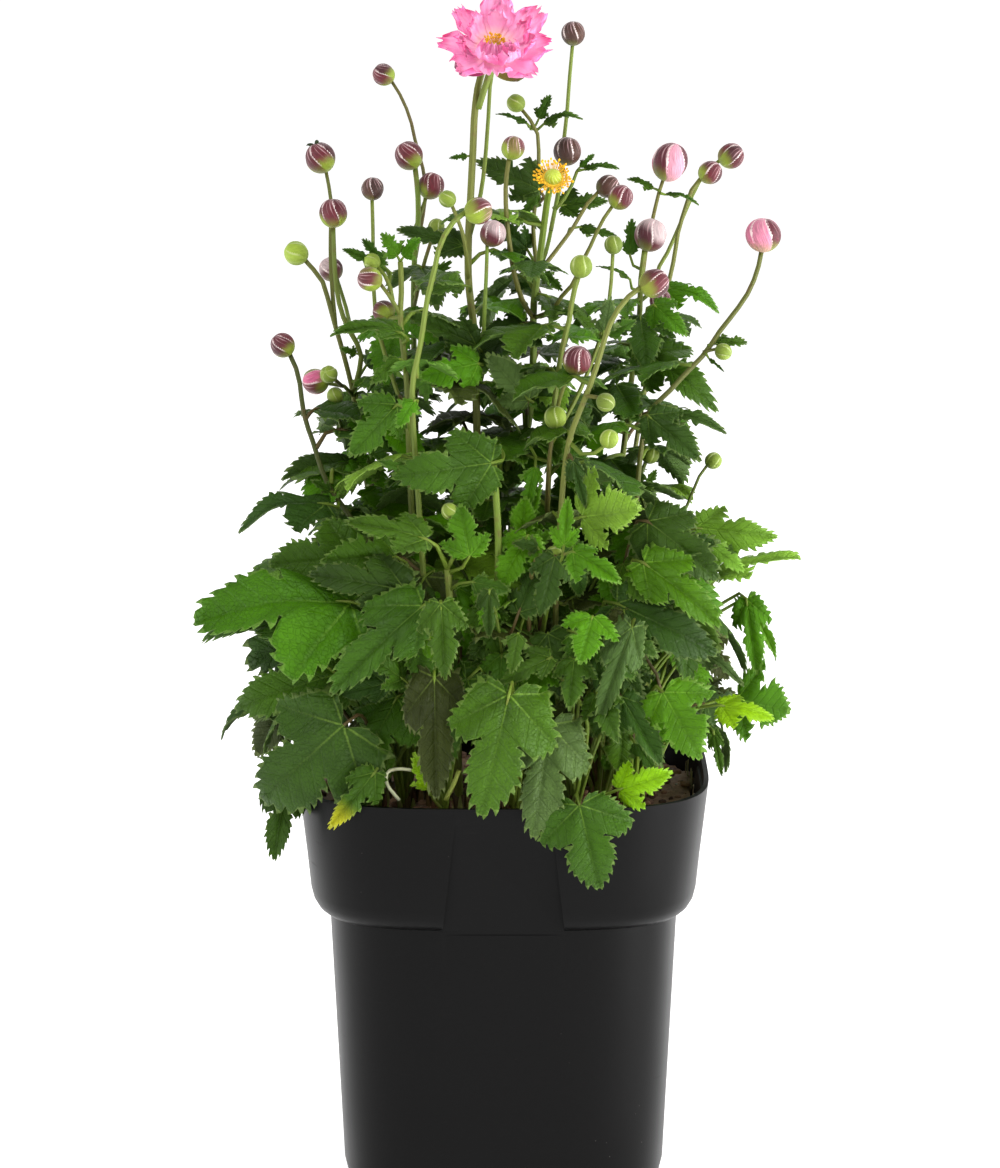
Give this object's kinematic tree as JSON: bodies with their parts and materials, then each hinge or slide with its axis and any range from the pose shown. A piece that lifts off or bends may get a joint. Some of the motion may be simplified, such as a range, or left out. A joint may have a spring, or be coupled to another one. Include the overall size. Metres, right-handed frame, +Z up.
{
  "type": "potted japanese anemone",
  "caption": "Bushy leafy anemone with lobed toothed leaves, tall thin stems, round maroon buds and a pink double bloom, in a dark rounded-square nursery pot.",
  "frame": {"origin": "the middle of the pot's underside, on the surface it rests on", "axes": "+Z up; -Y towards the viewer of the picture, which is the front; +X to the right as seen from the front"},
  "size_m": [0.2738, 0.2249, 0.5394],
  "materials": {
    "pot": "satin charcoal moulded plastic",
    "soil": "dark crumbly potting mix",
    "foliage": "soft green leaf",
    "buds": "maroon bud with silky hairs",
    "petals": "soft pink petal",
    "stamens": "golden stamens"
  },
  "bodies": {
    "root": {"bloom_petals": "petals", "bloom_stamens": "stamens", "bud_1": "buds", "bud_11": "buds", "bud_12": "buds", "bud_13": "buds", "bud_14": "buds", "bud_15": "buds", "bud_16": "buds", "bud_19": "buds", "bud_20": "buds", "bud_21": "buds", "bud_22": "buds", "bud_23": "buds", "bud_24": "buds", "bud_25": "buds", "bud_27": "buds", "bud_29": "buds", "bud_3": "buds", "bud_30": "buds", "bud_31": "buds", "bud_32": "buds", "bud_35": "buds", "bud_4": "buds", "bud_5": "buds", "bud_6": "buds", "bud_7": "buds", "bud_8": "buds", "pot": "pot", "soil": "soil", "spent_stamens": "stamens", "stem_bloom": "foliage", "stem_centre": "foliage", "stem_far_right": "foliage", "stem_left": "foliage", "stem_left_back": "foliage", "stem_left_front": "foliage", "stem_left_inner": "foliage", "stem_left_outer": "foliage", "stem_low_left": "foliage", "stem_right": "foliage", "stem_right_back": "foliage", "stem_right_front": "foliage", "stem_right_low": "foliage", "stem_right_mid": "foliage", "tuft_back": "foliage", "tuft_back_left": "foliage", "tuft_back_right": "foliage", "tuft_front": "foliage", "tuft_front_left": "foliage", "tuft_front_right": "foliage", "tuft_inner": "foliage", "tuft_left_high": "foliage", "tuft_left_low": "foliage", "tuft_right_high": "foliage", "tuft_right_low": "foliage", "tuft_side_left": "foliage", "tuft_side_right": "foliage"}
  },
  "joints": []
}
